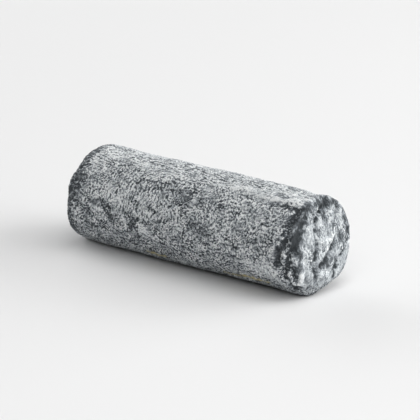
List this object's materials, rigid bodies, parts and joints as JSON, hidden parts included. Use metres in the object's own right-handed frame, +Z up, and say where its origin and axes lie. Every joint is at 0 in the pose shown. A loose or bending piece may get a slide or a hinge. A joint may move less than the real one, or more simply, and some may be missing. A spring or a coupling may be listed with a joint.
{
  "type": "goat cheese log",
  "caption": "Cylindrical soft cheese with a wrinkled ash-grey rind, folded at its ends, lying on its side.",
  "frame": {"origin": "on the resting surface, under the middle of the log's box", "axes": "+X along the log towards the end with the deep folds, +Z up"},
  "size_m": [0.1454, 0.0496, 0.0466],
  "materials": {
    "ash_rind": null
  },
  "bodies": {
    "root": {"cheese_log": "ash_rind"}
  },
  "joints": []
}
